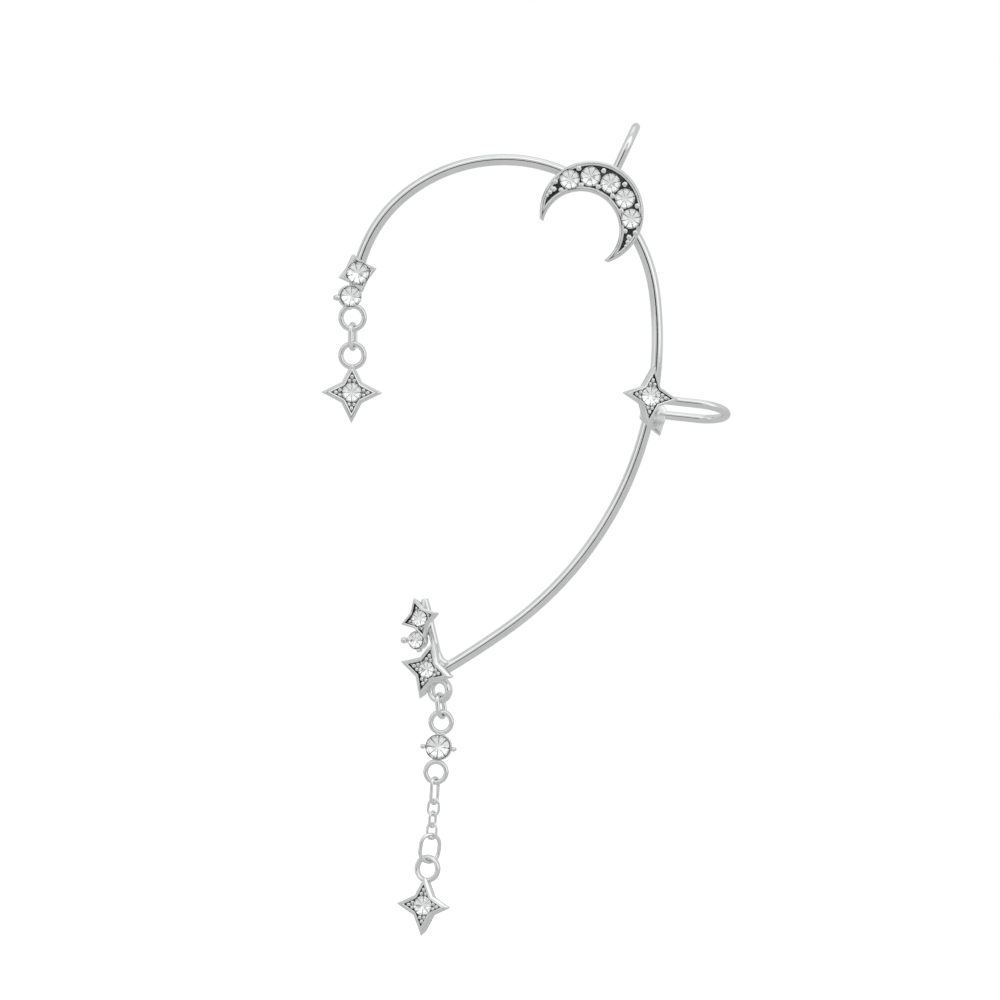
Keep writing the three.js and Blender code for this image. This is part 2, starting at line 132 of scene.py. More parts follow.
def buildStudio():
    world = bpy.data.worlds.new("studio")
    scene.world = world
    world.use_nodes = True
    tree = world.node_tree
    tree.nodes.clear()
    direction = addNode(tree, "ShaderNodeTexCoord").outputs["Generated"]
    axes = addNode(tree, "ShaderNodeSeparateXYZ", {0: direction}).outputs
    rear = mapValue(tree, axes["Y"], *studio["behindFade"], 0, 1, True)
    colour = mixColour(tree, rear, grey(studio["walls"]), grey(studio["behind"]))
    under = mapValue(tree, axes["Z"], *studio["belowFade"], 1, 0, True)
    colour = mixColour(tree, under, colour, grey(studio["below"]))
    ring = studio["ring"]
    inFront = addMath(tree, "MULTIPLY", axes["Y"], -1)
    angles = [ring[key] + side * ring["soft"] for key in ("to", "from") for side in (1, -1)]
    edges = [math.cos(math.radians(angle)) for angle in angles]
    rising = mapValue(tree, inFront, edges[0], edges[1], 0, 1, True)
    falling = mapValue(tree, inFront, edges[2], edges[3], 1, 0, True)
    lit = addMath(tree, "MULTIPLY", rising, falling)
    slant = studio["slant"]
    facing = addNode(tree, "ShaderNodeVectorMath", {0: direction, 1: slant["towards"]}, operation="DOT_PRODUCT")
    strength = mapValue(tree, facing.outputs["Value"], *slant["fade"], *ring["glow"])
    glow = addNode(tree, "ShaderNodeCombineColor", {k: strength for k in range(3)}).outputs[0]
    colour = mixColour(tree, lit, colour, glow)
    lens = studio["lens"]
    edges = [math.cos(math.radians(lens[key])) for key in ("outer", "inner")]
    colour = mixColour(tree, mapValue(tree, inFront, edges[0], edges[1], 0, 1, True), colour, grey(lens["glow"]))
    for panel in studio["panels"]:
        towards = Vector(panel["towards"]).normalized()
        facing = addNode(tree, "ShaderNodeVectorMath", {0: direction, 1: towards}, operation="DOT_PRODUCT")
        edges = [math.cos(math.radians(panel[key])) for key in ("outer", "inner")]
        reach = mapValue(tree, facing.outputs["Value"], edges[0], edges[1], 0, 1, True)
        colour = mixColour(tree, reach, colour, grey(panel["glow"]))
    seen = addNode(tree, "ShaderNodeLightPath").outputs["Is Camera Ray"]
    colour = mixColour(tree, seen, colour, grey(studio["backdrop"]))
    background = addNode(tree, "ShaderNodeBackground", {"Color": colour, "Strength": 1})
    addNode(tree, "ShaderNodeOutputWorld", {"Surface": background.outputs[0]})
    scene.view_settings.view_transform = "Standard"


floorPaper = {"half": 1.5, "drop": 0.006, "colour": 0.72, "seen": 0.9, "glow": 0.5}


def buildFloor():
    bm = bmesh.new()
    bmesh.ops.create_grid(bm, x_segments=1, y_segments=1, size=floorPaper["half"])
    bmesh.ops.translate(bm, verts=bm.verts, vec=(0, 0, cadBox[0].z - floorPaper["drop"]))
    mesh = bpy.data.meshes.new("floor")
    bm.to_mesh(mesh)
    bm.free()
    material, tree, shader = newMaterial("floorPaper")
    seen = addNode(tree, "ShaderNodeLightPath").outputs["Is Camera Ray"]
    colour = mixColour(tree, seen, grey(floorPaper["colour"]), grey(floorPaper["seen"]))
    tree.links.new(colour, shader.inputs["Base Color"])
    tree.links.new(mixColour(tree, seen, grey(0), grey(floorPaper["glow"])), shader.inputs["Emission Color"])
    shader.inputs["Roughness"].default_value = 0.9
    shader.inputs["Emission Strength"].default_value = 1
    mesh.materials.append(material)
    floor = bpy.data.objects.new("floor", mesh)
    scene.collection.objects.link(floor)


buildCamera()
buildStudio()
buildFloor()
print("camera, studio and floor ready")

# ---- materials


def newGroup(name, inputs, outputs):
    group = bpy.data.node_groups.new(name, "ShaderNodeTree")
    for label, default in inputs:
        socket = group.interface.new_socket(label, in_out="INPUT", socket_type="NodeSocketFloat")
        socket.default_value = default
    for label, kind in outputs:
        group.interface.new_socket(label, in_out="OUTPUT", socket_type=kind)
    return group, addNode(group, "NodeGroupInput"), addNode(group, "NodeGroupOutput")


def buildPolishGroup():
    # plating: a soft ripple from the cast or drawn metal, and hairline marks from the buffing wheel
    inputs = [("Ripple Scale", 900), ("Mark Scale", 5000), ("Roughness Low", 0.05), ("Roughness High", 0.16)]
    outputs = [("Tone", "NodeSocketFloat"), ("Roughness", "NodeSocketFloat"), ("Height", "NodeSocketFloat")]
    group, given, out = newGroup("platedPolish", inputs, outputs)
    place = addNode(group, "ShaderNodeTexCoord").outputs["Object"]
    ripple = addNode(
        group, "ShaderNodeTexNoise", {"Vector": place, "Scale": given.outputs["Ripple Scale"], "Detail": 2}
    )
    stretched = addNode(
        group, "ShaderNodeMapping", {"Vector": place, "Rotation": (0.4, 0.7, 0.3), "Scale": (1, 0.12, 1)}
    )
    marks = addNode(
        group,
        "ShaderNodeTexNoise",
        {"Vector": stretched.outputs[0], "Scale": given.outputs["Mark Scale"], "Detail": 3, "Roughness": 0.7},
    )
    rough = addNode(
        group,
        "ShaderNodeMapRange",
        {
            "Value": marks.outputs["Fac"],
            "From Min": 0.35,
            "From Max": 0.65,
            "To Min": given.outputs["Roughness Low"],
            "To Max": given.outputs["Roughness High"],
        },
    )
    tone = mapValue(group, ripple.outputs["Fac"], 0.3, 0.7, 0, 1)
    height = addMath(group, "MULTIPLY_ADD", marks.outputs["Fac"], 0.15, ripple.outputs["Fac"])
    for label, socket in (("Tone", tone), ("Roughness", rough.outputs["Result"]), ("Height", height)):
        group.links.new(socket, out.inputs[label])
    return group


metalFinishes = {
    "castSilver": {"pale": 0.9, "dull": 0.84, "ripple": 1400, "marks": 6000, "rough": (0.07, 0.2), "bump": 2e-5},
    "wireSilver": {"pale": 0.9, "dull": 0.84, "ripple": 500, "marks": 5000, "rough": (0.05, 0.14), "bump": 1.2e-5},
    "chainSilver": {"pale": 0.92, "dull": 0.84, "ripple": 1800, "marks": 7000, "rough": (0.08, 0.22), "bump": 2e-5},
    # the recess metal is the same plating darkened as painted shade, for the floors of the fields
    "recessSilverPaintedShade": {"pale": 0.8, "dull": 0.62, "ripple": 2600, "marks": 8000, "rough": (0.12, 0.3), "bump": 2e-5},
    # the well metal is near black, a painted shadow on the field walls and in the wells round the stones
    "wellPaintedShadow": {"pale": 0.14, "dull": 0.05, "ripple": 2600, "marks": 8000, "rough": (0.3, 0.5), "bump": 5e-5},
}


def buildMetal(name, polish):
    finish = metalFinishes[name]
    material, tree, shader = newMaterial(name)
    values = {
        "Ripple Scale": finish["ripple"],
        "Mark Scale": finish["marks"],
        "Roughness Low": finish["rough"][0],
        "Roughness High": finish["rough"][1],
    }
    group = addNode(tree, "ShaderNodeGroup", values, node_tree=polish)
    cool = (finish["dull"] * 0.985, finish["dull"] * 0.995, finish["dull"], 1)
    pale = (finish["pale"], finish["pale"] * 1.002, finish["pale"] * 1.006, 1)
    colour = mixColour(tree, group.outputs["Tone"], cool, pale)
    bump = addNode(
        tree, "ShaderNodeBump", {"Height": group.outputs["Height"], "Strength": 0.6, "Distance": finish["bump"]}
    )
    tree.links.new(colour, shader.inputs["Base Color"])
    tree.links.new(group.outputs["Roughness"], shader.inputs["Roughness"])
    tree.links.new(bump.outputs[0], shader.inputs["Normal"])
    shader.inputs["Metallic"].default_value = 1
    return material


def buildCrystal():
    material, tree, shader = newMaterial("crystal")
    place = addNode(tree, "ShaderNodeTexCoord").outputs["Object"]
    smear = addNode(tree, "ShaderNodeTexNoise", {"Vector": place, "Scale": 2500, "Detail": 2})
    tint = mixColour(tree, smear.outputs["Fac"], (0.965, 0.97, 0.975, 1), (1, 1, 1, 1))
    tree.links.new(tint, shader.inputs["Base Color"])
    tree.links.new(mapValue(tree, smear.outputs["Fac"], 0.3, 0.7, 0, 0.03), shader.inputs["Roughness"])
    shader.inputs["Transmission Weight"].default_value = 1
    shader.inputs["IOR"].default_value = 1.56
    return material


# line and from: where the painted shade lines fade, across a petal and outwards from the stone's middle; dark is
# their painted shade and glow the petals' painted glow
foilCut = {"petals": 8, "line": (0.05, 0.3), "from": (0.12, 0.3), "dark": 0.16, "glow": 0.15}


def buildFoil():
    # the foiled back of a stone: bright metal petals with a painted glow, and thin dark lines of painted shade
    # where its facets meet
    material, tree, shader = newMaterial("foilWithPaintedGlow")
    place = addNode(tree, "ShaderNodeTexCoord").outputs["Object"]
    grain = addNode(tree, "ShaderNodeTexNoise", {"Vector": place, "Scale": 4000, "Detail": 2})
    across = addNode(tree, "ShaderNodeUVMap", uv_map="cut").outputs[0]
    axes = addNode(tree, "ShaderNodeSeparateXYZ", {0: across}).outputs
    angle = addMath(tree, "ARCTAN2", axes["Y"], axes["X"])
    turns = addMath(tree, "MULTIPLY", angle, foilCut["petals"] / 2)
    away = addMath(tree, "ABSOLUTE", addMath(tree, "SINE", turns))
    line = mapValue(tree, away, *foilCut["line"], 1, 0, True)
    reach = addNode(tree, "ShaderNodeVectorMath", {0: across}, operation="LENGTH").outputs["Value"]
    outer = mapValue(tree, reach, *foilCut["from"], 0, 1, True)
    shade = addMath(tree, "MULTIPLY", line, outer)
    tone = mixColour(tree, grain.outputs["Fac"], (0.94, 0.945, 0.95, 1), (1, 1, 1, 1))
    tree.links.new(mixColour(tree, shade, tone, grey(foilCut["dark"])), shader.inputs["Base Color"])
    # the emission is a painted glow on the petals, left out along the painted shade lines
    tree.links.new(mixColour(tree, shade, grey(foilCut["glow"]), grey(0)), shader.inputs["Emission Color"])
    tree.links.new(mapValue(tree, grain.outputs["Fac"], 0.3, 0.7, 0.03, 0.12), shader.inputs["Roughness"])
    shader.inputs["Metallic"].default_value = 1
    shader.inputs["Emission Strength"].default_value = 1
    return material


polishGroup = buildPolishGroup()
metals = {name: buildMetal(name, polishGroup) for name in metalFinishes}
crystal = buildCrystal()
foilWithPaintedGlow = buildFoil()
print("materials ready")

# ---- shared sizes, in millimetres

wire = {
    "diameter": 1.1,
    "loopRadius": 14.85,
    "frontArcs": [(1.04, 39), (0.886, 41)],  # radius as a share of the loop's, turn in degrees
    "backArcs": [(1, 82.5), (2.352, 62), (5.9, 5.3)],
    "sides": 24,
    "step": 0.55,
    "endRound": 0.4,
    "clear": 0.2,  # room to the crescent's opening
}
casting = {"thickness": 1.2, "solder": 0.25, "recess": 0.3, "stoneDrop": 0.2, "seatGap": 0.04}
star = {
    "reach": 3.0,
    "waist": 1.42,
    "slope": 0.22,
    "slopeDepth": 0.2,
    "line": 0.025,
    "lineDepth": 0.04,
    "rim": 0.15,
    "rimRise": 0.035,
    "wall": 0.045,
    "edge": 0.05,
    "back": 1,  # the back's outline as a share of the front's
}
middleStar = {**star, "waist": 1.34, "slope": 0.14, "rim": 0.12, "back": 0.88}
smallStar = {**star, "waist": 1.18, "slope": 0.14, "slopeDepth": 0.14, "rim": 0.11, "wall": 0.04, "edge": 0.03}
frontStar = {**smallStar, "reach": 1.95, "waist": 1.22, "back": 0.92}
lowerStar = {**smallStar, "reach": 2.12, "waist": 1.12, "slope": 0.12, "rim": 0.1, "back": 0.82}
bigStar = {**star, "back": 0.86}
crescent = {
    "outer": 5.1,
    "inner": 3.77,
    "offset": 1.96,
    "thickness": 1.35,
    "tipOuter": 51,
    "tipInner": 70,
    "lean": 32.7,
    "stones": 5,
    "turn": 41.7,
    "steps": 84,
    "slope": 0.2,
    "edge": 0.06,
}
stoneSizes = {
    "pave": 1.98,
    "gap": 0.1,
    "star": 1.95,
    "frontStar": 2.2,
    "frontClaw": 2.0,
    "lower": 1.6,
    "bigStar": 1.65,
    "connector": 2.35,
}
cup = {"wall": 0.2, "clearance": 0.1, "lip": 0.12}
ring = {"outer": 2.8, "wire": 0.46, "band": 0.52, "depth": 0.72, "seam": 0.3}
connectorRing = {**ring, "outer": 2.55}
lowerRing = {"outer": 2.65, "wire": 0.62, "band": 0.68, "depth": 1.0, "forward": 0.225}
hook = {"diameter": 0.85, "reach": 7.45, "upperExtra": 0.17, "bend": 2.8}
hangPlay = 0.08
joins = {  # from a star's middle to the next piece's edge, or how deep two pieces overlap
    "starToCup": 1.08,
    "starToRing": 0.88,
    "cupInRing": 0.61,
    "cupInStar": 0.99,
}

# ---- places on the frame


def frameAt(parent, position, lean=0, turn=0, roll=0, tilt=0):
    place = parent @ Matrix.Translation(Vector(position))
    for degrees, axis in ((lean, "Y"), (turn, "Z"), (roll, "Y"), (tilt, "X")):
        place = place @ Matrix.Rotation(math.radians(degrees), 4, axis)
    return place


def wirePoint(arcs, side, turned):
    before = 0
    point = Vector((0, 0, wire["diameter"] / 2))
    for share, turn in arcs:
        part = min(max(turned - before, 0), turn)
        start, end = math.radians(before), math.radians(before + part)
        bend = share * wire["loopRadius"]
        point += bend * Vector((side * (math.sin(end) - math.sin(start)), 0, math.cos(end) - math.cos(start)))
        before += turn
    return point


def backPoint(turned):
    return wirePoint(wire["backArcs"], 1, turned)


def standOff(thickness):
    return wire["diameter"] / 2 - casting["solder"] + thickness / 2


def below(point, distance, lean):
    angle = math.radians(lean)
    return (point[0] - distance * math.sin(angle), point[1], point[2] - distance * math.cos(angle))


def cupOuter(stone):
    return stone / 2 + cup["clearance"] + cup["wall"]


home = Matrix.Identity(4)
castBack = -standOff(casting["thickness"])

crescentPoint = backPoint(crescent["turn"])
inward = math.radians(crescent["turn"])
crescentPoint -= crescent["offset"] * Vector((math.sin(inward), 0, math.cos(inward)))
crescentPoint.y = -standOff(crescent["thickness"])
crescentPlace = frameAt(home, crescentPoint, roll=90 + crescent["lean"])

upperHookPlace = frameAt(home, backPoint(crescent["turn"] - 0.8), roll=-65)
midStarPlace = frameAt(frameAt(home, backPoint(99.4), turn=23), (-0.75, castBack, 0), roll=7)
midHookPlace = frameAt(home, backPoint(99.8) + Vector((0, hook["diameter"], 0)), roll=6.3, tilt=-14.6)

frontCluster = frameAt(home, wirePoint(wire["frontArcs"], -1, 80), turn=12)
frontStarPoint = (-0.204, castBack, 0.237)
frontCup = cupOuter(stoneSizes["frontClaw"])
frontClawPoint = below(frontStarPoint, joins["starToCup"] + frontCup, 17.3)
frontRingPoint = below(frontClawPoint, frontCup + ring["outer"] / 2 - joins["cupInRing"], -7.6)
frontStarPlace = frameAt(frontCluster, frontStarPoint, roll=-14)
frontClawPlace = frameAt(frontCluster, frontClawPoint, roll=8)
frontRingPlace = frameAt(frontCluster, frontRingPoint, turn=-12)

lowerCluster = frameAt(home, backPoint(149.8), turn=-28)
lowerCup = cupOuter(stoneSizes["lower"])
bigStarPoint = (-0.622, castBack, 0.341)
lowerClawPoint = below(bigStarPoint, joins["cupInStar"] - star["reach"] - lowerCup, -22.9)
lowerStarPoint = below(lowerClawPoint, -joins["starToCup"] - lowerCup, 10.8)
lowerRingPoint = below(bigStarPoint, joins["starToRing"] + lowerRing["outer"] / 2, -24)
lowerStarPlace = frameAt(lowerCluster, lowerStarPoint, roll=-16)
lowerClawPlace = frameAt(lowerCluster, lowerClawPoint)
bigStarPlace = frameAt(lowerCluster, bigStarPoint, roll=15)
lowerRingPlace = frameAt(lowerCluster, (lowerRingPoint[0], -lowerRing["forward"], lowerRingPoint[2]))


def ringInside(sizes):
    return sizes["outer"] / 2 - sizes["wire"]


def hangRows(ringPlace, sizes, rows):
    # each row hangs in the inside of the one above
    places = {}
    grip = ringPlace.to_translation()
    grip.z -= ringInside(sizes)
    for name, turn, lean, upper, lower in rows:
        down = Vector((-math.sin(math.radians(lean)), 0, -math.cos(math.radians(lean))))
        grip = grip + down * (upper - hangPlay)
        places[name] = frameAt(home, grip, lean=lean, turn=turn)
        grip = grip + down * lower
    return places


links = {  # length, width, wire, turn, lean
    "front_drop_link": (2.88, 1.95, 0.45, 72, 0),
    "drop_top_link": (2.7, 1.95, 0.45, 66, -7),
    "chain_link_1": (2.9, 1.7, 0.34, 62, 3),
    "chain_link_2": (1.8, 1.35, 0.28, -14, 5),
    "chain_link_3": (1.8, 1.35, 0.28, 58, 4),
    "chain_link_4": (1.8, 1.35, 0.28, -34, 4),
    "drop_jump_ring": (3.1, 2.45, 0.4, 28, 8),
}


def linkRow(name):
    length, _, gauge, turn, lean = links[name]
    return name, turn, lean, length / 2 - gauge, length / 2 - gauge


toStar = star["reach"] + ringInside(ring) - ring["seam"]
toConnectorRing = cupOuter(stoneSizes["connector"]) + connectorRing["outer"] / 2 - ring["seam"]
connectorInside = ringInside(connectorRing)
chainRows = [linkRow(name) for name in list(links)[2:]]  # below the connector
places = hangRows(
    frontRingPlace, ring, [linkRow("front_drop_link"), ("front_drop_star", 0, 1, ringInside(ring), 0)]
)
places.update(
    hangRows(
        lowerRingPlace,
        lowerRing,
        [
            linkRow("drop_top_link"),
            ("drop_connector", -8, 6, connectorInside, 2 * toConnectorRing + connectorInside),
            *chainRows,
            ("drop_star", -28, 4, ringInside(ring), 0),
        ],
    )
)
frontDropPlace = frameAt(places["front_drop_star"], (0, 0, -toStar))
dropStarPlace = frameAt(places["drop_star"], (0, 0, -toStar))
connectorPlace = frameAt(places["drop_connector"], (0, 0, -toConnectorRing))
connectorLowPlace = frameAt(connectorPlace, (0, 0, -toConnectorRing))


def stoneOn(place, x=0, z=0, thickness=casting["thickness"]):
    return frameAt(place, (x, casting["stoneDrop"] - thickness / 2, z))


def onCrescent(steps, out=0):
    radius = (crescent["outer"] + crescent["inner"]) / 2 - stoneSizes["gap"] / 2
    angle = math.pi + steps * (stoneSizes["pave"] + stoneSizes["gap"]) / radius
    return crescent["offset"] / 2 + (radius + out) * math.cos(angle), (radius + out) * math.sin(angle)


stones = {  # place, diameter, spin of the facets
    "mid_star_stone": (stoneOn(midStarPlace), stoneSizes["star"], 10),
    "front_star_stone": (stoneOn(frontStarPlace), stoneSizes["frontStar"], 4),
    "front_claw_stone": (stoneOn(frontClawPlace), stoneSizes["frontClaw"], 17),
    "front_drop_stone": (stoneOn(frontDropPlace), stoneSizes["star"], 8),
    "lower_star_stone": (stoneOn(lowerStarPlace), stoneSizes["lower"], 14),
    "lower_claw_stone": (stoneOn(lowerClawPlace), stoneSizes["lower"], 2),
    "lower_big_star_stone": (stoneOn(bigStarPlace), stoneSizes["bigStar"], 20),
    "connector_stone": (stoneOn(connectorPlace), stoneSizes["connector"], 0),
    "drop_star_stone": (stoneOn(dropStarPlace), stoneSizes["star"], 12),
}
for k in range(crescent["stones"]):
    x, z = onCrescent(k - (crescent["stones"] - 1) / 2)
    place = stoneOn(crescentPlace, x, z, crescent["thickness"])
    stones[f"crescent_stone_{k + 1}"] = (place, stoneSizes["pave"], 9 * k)

# ---- modelling helpers: every bmesh is in millimetres until it is finished


def edgesOf(made):
    return [item for item in made if isinstance(item, bmesh.types.BMEdge)]


def vertsOf(made):
    return [item for item in made if isinstance(item, bmesh.types.BMVert)]


def addRing(bm, radius, sides, place):
    made = bmesh.ops.create_circle(bm, cap_ends=False, segments=sides, radius=radius, matrix=place)
    return list({edge for vert in made["verts"] for edge in vert.link_edges})


def pullRing(bm, loop, move):
    made = bmesh.ops.extrude_edge_only(bm, edges=loop)["geom"]
    bmesh.ops.translate(bm, verts=vertsOf(made), vec=move)
    ends = set(vertsOf(made))
    return [edge for edge in edgesOf(made) if set(edge.verts) <= ends]


def turnRing(bm, loop, centre, axis, degrees, steps):
    made = bmesh.ops.spin(
        bm, geom=loop, cent=centre, axis=axis, angle=math.radians(degrees), steps=steps, use_duplicate=False
    )
    return edgesOf(made["geom_last"])


def bevelEdges(bm, edges, width, segments):
    bmesh.ops.bevel(
        bm,
        geom=edges,
        offset=width,
        offset_type="OFFSET",
        segments=segments,
        profile=0.5,
        affect="EDGES",
        clamp_overlap=True,
        material=-1,
    )


def closeRing(bm, loop, rounding, segments=5):
    made = bmesh.ops.edgeloop_fill(bm, edges=loop)["faces"]
    bevelEdges(bm, list(made[0].edges), rounding, segments)


def softenEdges(bm, width, angle=25, segments=3, keep=()):
    bm.normal_update()
    keep = set(keep)
    sharp = [
        edge
        for edge in bm.edges
        if len(edge.link_faces) == 2
        and edge.calc_face_angle(0) > math.radians(angle)
        and not keep.intersection(edge.link_faces)
    ]
    bevelEdges(bm, sharp, width, segments)


def meshObject(name, bm):
    mesh = bpy.data.meshes.new(name)
    bm.to_mesh(mesh)
    bm.free()
    piece = bpy.data.objects.new(name, mesh)
    scene.collection.objects.link(piece)
    return piece


def addSeat(bm, place, diameter, depth=0.5, front=1.2):
    # a straight well for a stone, open to the front
    turned = place @ Matrix.Translation((0, (depth - front) / 2, 0)) @ Matrix.Rotation(math.radians(90), 4, "X")
    bmesh.ops.create_cone(
        bm,
        cap_ends=True,
        segments=40,
        radius1=diameter / 2,
        radius2=diameter / 2,
        depth=depth + front,
        matrix=turned,
    )


def cutAway(bm, cutter):
    # subtracts the cutter from the metal and hands back a new bmesh
    piece = meshObject("uncut", bm)
    modifier = piece.modifiers.new("cut", "BOOLEAN")
    modifier.operation = "DIFFERENCE"
    modifier.solver = "EXACT"
    modifier.object = cutter
    depsgraph = bpy.context.evaluated_depsgraph_get()
    cut = bmesh.new()
    cut.from_object(piece, depsgraph)
    mesh = piece.data
    bpy.data.objects.remove(piece)
    bpy.data.meshes.remove(mesh)
    return cut


pieceCount = 0


def finishPiece(name, bm, materials, nodes, sharp=32):
    global pieceCount
    bmesh.ops.remove_doubles(bm, verts=bm.verts, dist=0.002)
    bmesh.ops.recalc_face_normals(bm, faces=bm.faces)
    bmesh.ops.scale(bm, vec=(0.001, 0.001, 0.001), verts=bm.verts)
    piece = meshObject(name, bm)
    for material in materials:
        piece.data.materials.append(material)
    piece.data.shade_smooth()
    piece.data.set_sharp_from_angle(angle=math.radians(sharp))
    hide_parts(*nodes)
    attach(piece, "root")
    pieceCount += 1
    return piece


seatCutter = bmesh.new()
for place, diameter, _ in stones.values():
    addSeat(seatCutter, place, diameter + 2 * casting["seatGap"])
# the seats' faces carry the near-black metal of painted shadow into the wells round the stones
for face in seatCutter.faces:
    face.material_index = 2
seatCutter = meshObject("seats", seatCutter)
seatCutter.hide_render = True

# ---- the ear wire


def buildWire():
    bm = bmesh.new()
    radius = wire["diameter"] / 2
    crown = Vector((0, 0, radius))
    across = Matrix.Translation(crown) @ Matrix.Rotation(math.radians(90), 4, "Y")
    start = addRing(bm, radius, wire["sides"], across)
    for arcs, side in ((wire["frontArcs"], -1), (wire["backArcs"], 1)):
        loop, turned = start, 0
        for share, turn in arcs:
            bend = share * wire["loopRadius"]
            angle = math.radians(turned)
            outward = Vector((side * math.sin(angle), 0, math.cos(angle)))
            centre = wirePoint(arcs, side, turned) - bend * outward
            steps = max(6, round(bend * math.radians(turn) / wire["step"]))
            loop = turnRing(bm, loop, centre, (0, 1, 0), side * turn, steps)
            turned += turn
        closeRing(bm, loop, wire["endRound"])
    # dressed back behind the crescent, clear of its opening
    centre = crescentPlace @ Vector((crescent["offset"], 0, 0))
    clear = crescent["inner"] + wire["clear"]
    for vert in bm.verts:
        away = Vector((vert.co.x - centre.x, 0, vert.co.z - centre.z))
        if away.length < clear:
            vert.co += away.normalized() * (clear - away.length)
    finishPiece("ear_wire", bm, [metals["wireSilver"]], ["cuff_frame"], 60)


buildWire()
print("ear wire done")

# ---- ear hooks


def buildHook(name, place, reach, startsAt, endsAt):
    bm = bmesh.new()
    radius = hook["diameter"] / 2
    straight = reach - hook["bend"]
    across = Matrix.Translation((startsAt, 0, 0)) @ Matrix.Rotation(math.radians(90), 4, "Y")
    root = addRing(bm, radius, 20, across)
    loop = pullRing(bm, root, (straight - startsAt, 0, 0))
    loop = turnRing(bm, loop, (straight, hook["bend"], 0), (0, 0, 1), 180, 28)
    loop = pullRing(bm, loop, (endsAt - straight, 0, 0))
    closeRing(bm, loop, 0.36)
    closeRing(bm, root, 0.12)
    bmesh.ops.transform(bm, matrix=place, verts=bm.verts)
    finishPiece(name, bm, [metals["wireSilver"]], ["cuff_frame"], 60)


def starFace(bm, reach, waist, across=None):
    made = bmesh.ops.create_circle(bm, cap_ends=True, segments=8, radius=1)
    bmesh.ops.rotate(bm, verts=made["verts"], cent=(0, 0, 0), matrix=Matrix.Rotation(math.radians(90), 3, "X"))
    for vert in made["verts"]:
        if abs(vert.co.x) > 0.9:
            vert.co *= across or reach
        elif abs(vert.co.z) > 0.9:
            vert.co *= reach
        else:
            vert.co *= waist
    return made["verts"][0].link_faces[0]


def raiseFace(bm, face, height):
    made = bmesh.ops.extrude_face_region(bm, geom=[face])["geom"]
    bmesh.ops.translate(bm, verts=vertsOf(made), vec=(0, -height, 0))
    return next(item for item in made if isinstance(item, bmesh.types.BMFace))


def insetFace(bm, face, width, rise):
    made = bmesh.ops.inset_region(
        bm, faces=[face], thickness=width, depth=rise, use_boundary=True, use_even_offset=True
    )
    return made["faces"]


def insetTwice(bm, face, width, rise):
    return insetFace(bm, face, width, rise) + insetFace(bm, face, width, -rise)


def frameRim(bm, face, sizes):
    # a fine line, a rim with two sides, then the field's wall, in near-black painted shadow, and its floor, in
    # painted shade
    line = insetTwice(bm, face, sizes["line"], -sizes["lineDepth"])
    rim = insetTwice(bm, face, sizes["rim"] / 2, sizes["rimRise"])
    wall = insetFace(bm, face, sizes["wall"], -casting["recess"])
    # the floor takes the recess metal, darkened as painted shade
    face.material_index = 1
    # the walls take the near-black metal of painted shadow
    for side in wall:
        side.material_index = 2
    return [*line, *rim, *wall, face]


backPlate = {"up": 2.35, "across": 1.4, "waist": 1.35, "thickness": 0.7, "edge": 0.12, "along": 0.32, "roll": -23}


def buildBackPlate():
    bm = bmesh.new()
    face = starFace(bm, backPlate["up"], backPlate["waist"], backPlate["across"])
    bmesh.ops.translate(bm, verts=face.verts, vec=(0, backPlate["thickness"] / 2, 0))
    face = raiseFace(bm, face, backPlate["thickness"])
    softenEdges(bm, backPlate["edge"])
    place = frameAt(midHookPlace, (backPlate["along"], 2 * hook["bend"], 0), roll=backPlate["roll"])
    bmesh.ops.transform(bm, matrix=place, verts=bm.verts)
    finishPiece("hook_back_plate", bm, [metals["castSilver"]], ["cuff_frame"])


buildHook("upper_ear_hook", upperHookPlace, hook["reach"] + hook["upperExtra"], startsAt=0.45, endsAt=1.6)
buildHook("middle_ear_hook", midHookPlace, hook["reach"], startsAt=-0.4, endsAt=0.6)
buildBackPlate()
print("ear hooks done")

# ---- castings


castingMetals = [metals[name] for name in ("castSilver", "recessSilverPaintedShade", "wellPaintedShadow")]


def addGrain(bm, x, z, floor, size):
    bmesh.ops.create_uvsphere(
        bm, u_segments=14, v_segments=8, radius=size / 2, matrix=Matrix.Translation((x, floor, z))
    )


def starBody(bm, sizes, thickness):
    face = starFace(bm, sizes["reach"], sizes["waist"])
    back = list(face.verts)
    bmesh.ops.translate(bm, verts=back, vec=(0, thickness / 2, 0))
    face = raiseFace(bm, face, thickness - sizes["slopeDepth"])
    back = [vert for vert in bm.verts if vert.co.y > thickness / 2 - 0.01]
    bmesh.ops.scale(bm, verts=back, vec=(sizes["back"], 1, sizes["back"]))
    insetFace(bm, face, sizes["slope"], sizes["slopeDepth"])
    crisp = frameRim(bm, face, sizes)
    softenEdges(bm, sizes["edge"], keep=crisp)


# grains on each arm: way out from the stone, way aside, size
armGrains = [(0.2, 0.26, 0.46), (0.2, -0.26, 0.46), (0.6, 0, 0.52)]
shortArmGrains = [(0.27, 0, 0.36)]
longArm = 1.5


def starGrains(bm, sizes, stone):
    floor = casting["recess"] - casting["thickness"] / 2
    room = sizes["reach"] - stone / 2
    for arm in range(4):
        along = Matrix.Rotation(math.radians(90 * arm), 3, "Y")
        for out, aside, size in armGrains if room > longArm else shortArmGrains:
            spot = along @ Vector((stone / 2 + out, 0, aside))
            addGrain(bm, spot.x, spot.z, floor - 0.1, size)


